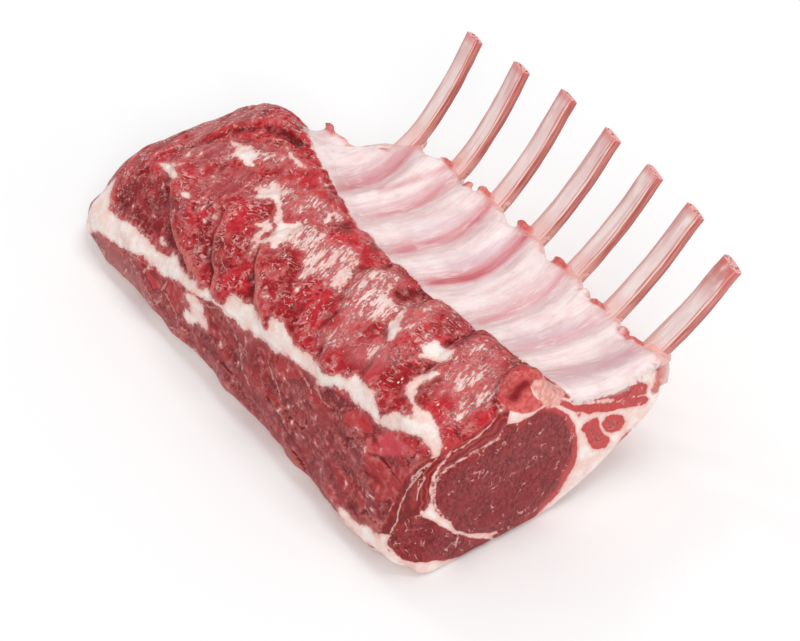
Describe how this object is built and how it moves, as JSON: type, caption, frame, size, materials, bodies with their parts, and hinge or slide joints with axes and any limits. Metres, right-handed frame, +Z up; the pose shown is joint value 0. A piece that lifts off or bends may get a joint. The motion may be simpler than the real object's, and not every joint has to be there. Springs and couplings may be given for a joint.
{
  "type": "rack of lamb",
  "caption": "Raw french-trimmed rack of lamb lying on its fat side, loin and rib plate in one piece, bare ribs curving up.",
  "frame": {"origin": "on the floor, under the middle of the whole rack's box", "axes": "+X along the back towards the fresh cut face, +Y towards the rib tips, +Z up"},
  "size_m": [0.2268, 0.1478, 0.0796],
  "materials": {
    "lean_meat": "moist raw lean meat with fat and membrane",
    "bone": "scraped moist bone"
  },
  "bodies": {
    "root": {"meat": "lean_meat", "rib_bone_1": "bone", "rib_bone_2": "bone", "rib_bone_3": "bone", "rib_bone_4": "bone", "rib_bone_5": "bone", "rib_bone_6": "bone", "rib_bone_7": "bone"}
  },
  "joints": []
}
